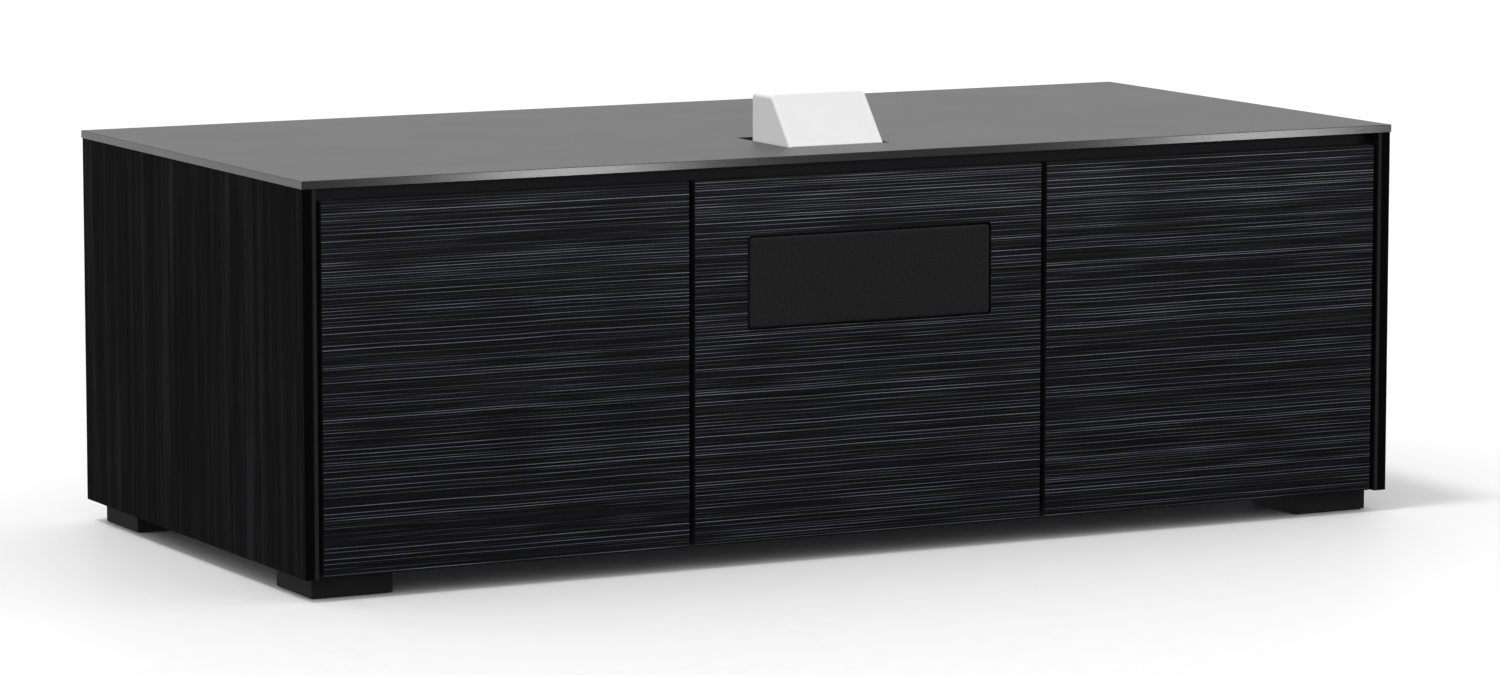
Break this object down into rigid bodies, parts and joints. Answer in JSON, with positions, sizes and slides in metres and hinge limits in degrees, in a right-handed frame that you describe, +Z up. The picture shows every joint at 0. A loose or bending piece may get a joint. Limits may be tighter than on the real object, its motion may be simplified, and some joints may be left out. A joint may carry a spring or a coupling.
{
  "type": "media cabinet",
  "caption": "Low black media cabinet with flush push-open doors, a cloth grille and a short-throw projector rising through a cut-out in its top.",
  "frame": {"origin": "on the floor, at the centre of the footprint", "axes": "+X to the right seen from the front, +Y to the back, +Z up; the doors face -Y"},
  "size_m": [1.657, 0.768, 0.614],
  "materials": {
    "top_finish": "satin black stained veneer",
    "side_veneer": "black stained oak veneer, upright grain",
    "door_texture": "blue-black combed face with fine level ridges",
    "carcass_board": "black melamine board",
    "black_metal": "black anodised",
    "hinge_steel": "nickel plated",
    "screw_steel": "black zinc",
    "foot_black": "satin black",
    "pad_rubber": "matt",
    "black_plastic": "matt",
    "grey_plastic": "matt",
    "grille_fabric": "open weave",
    "projector_white": "smooth, satin",
    "lens_glass": "coated",
    "mirror_face": "polished",
    "pin_steel": "nickel plated"
  },
  "bodies": {
    "carcass": {"front_left_foot": "foot_black", "front_right_foot": "foot_black", "rear_left_foot": "foot_black", "rear_right_foot": "foot_black", "foot_pads": "pad_rubber", "foot_bolts": "screw_steel", "bottom_panel": "carcass_board", "left_side_panel": "side_veneer", "right_side_panel": "side_veneer", "left_jamb": "black_metal", "right_jamb": "black_metal", "left_carcass_side": "carcass_board", "right_carcass_side": "carcass_board", "left_divider": "carcass_board", "right_divider": "carcass_board", "front_top_rail": "black_metal", "rear_top_rail": "black_metal", "left_top_rail": "black_metal", "right_top_rail": "black_metal", "left_divider_rail": "black_metal", "right_divider_rail": "black_metal", "top_panel": "top_finish", "left_back_panel": "carcass_board", "centre_back_panel": "carcass_board", "right_back_panel": "carcass_board", "back_panel_screws": "screw_steel", "cable_grommets": "black_plastic", "left_shelf": "carcass_board", "right_shelf": "carcass_board", "projector_shelf": "carcass_board", "shelf_pins": "pin_steel", "hinge_mounting_plates": "hinge_steel", "latch_housings": "grey_plastic", "door_bumpers": "pad_rubber", "left_hinge_arms": "hinge_steel", "centre_hinge_arms": "hinge_steel", "right_hinge_arms": "hinge_steel", "projector_case": "projector_white", "projector_cover": "projector_white", "projector_lens": "lens_glass", "projector_mirror": "mirror_face", "projector_feet": "black_plastic"},
    "left_door": {"left_door_core": "carcass_board", "left_door_facing": "door_texture", "left_hinge_cups": "hinge_steel", "left_strike": "pin_steel"},
    "left_plunger": {"left_latch_plunger": "grey_plastic"},
    "centre_door": {"centre_door_core": "carcass_board", "centre_door_facing": "door_texture", "centre_hinge_cups": "hinge_steel", "centre_strike": "pin_steel", "grille_frame": "black_plastic", "grille_cloth": "grille_fabric"},
    "centre_plunger": {"centre_latch_plunger": "grey_plastic"},
    "right_door": {"right_door_core": "carcass_board", "right_door_facing": "door_texture", "right_hinge_cups": "hinge_steel", "right_strike": "pin_steel"},
    "right_plunger": {"right_latch_plunger": "grey_plastic"}
  },
  "joints": [
    {"name": "left_door_hinge", "type": "hinge", "parent": "carcass", "child": "left_door", "pos_m": [-0.7908, -0.3705, 0.27525], "axis": [0, 0, -1], "range_deg": [0, 95]},
    {"name": "centre_door_hinge", "type": "hinge", "parent": "carcass", "child": "centre_door", "pos_m": [-0.25393, -0.3705, 0.27525], "axis": [0, 0, -1], "range_deg": [0, 95]},
    {"name": "right_door_hinge", "type": "hinge", "parent": "carcass", "child": "right_door", "pos_m": [0.7908, -0.3705, 0.27525], "axis": [0, 0, 1], "range_deg": [0, 95]},
    {"name": "left_latch_travel", "type": "slide", "parent": "carcass", "child": "left_plunger", "axis": [0, -1, 0], "range_m": [0, 0.03]},
    {"name": "centre_latch_travel", "type": "slide", "parent": "carcass", "child": "centre_plunger", "axis": [0, -1, 0], "range_m": [0, 0.03]},
    {"name": "right_latch_travel", "type": "slide", "parent": "carcass", "child": "right_plunger", "axis": [0, -1, 0], "range_m": [0, 0.03]}
  ],
  "couplings": [
    {"joint": "left_latch_travel", "follows": "left_door_hinge", "m_per_rad": 0.018},
    {"joint": "centre_latch_travel", "follows": "centre_door_hinge", "m_per_rad": 0.018},
    {"joint": "right_latch_travel", "follows": "right_door_hinge", "m_per_rad": 0.018}
  ]
}
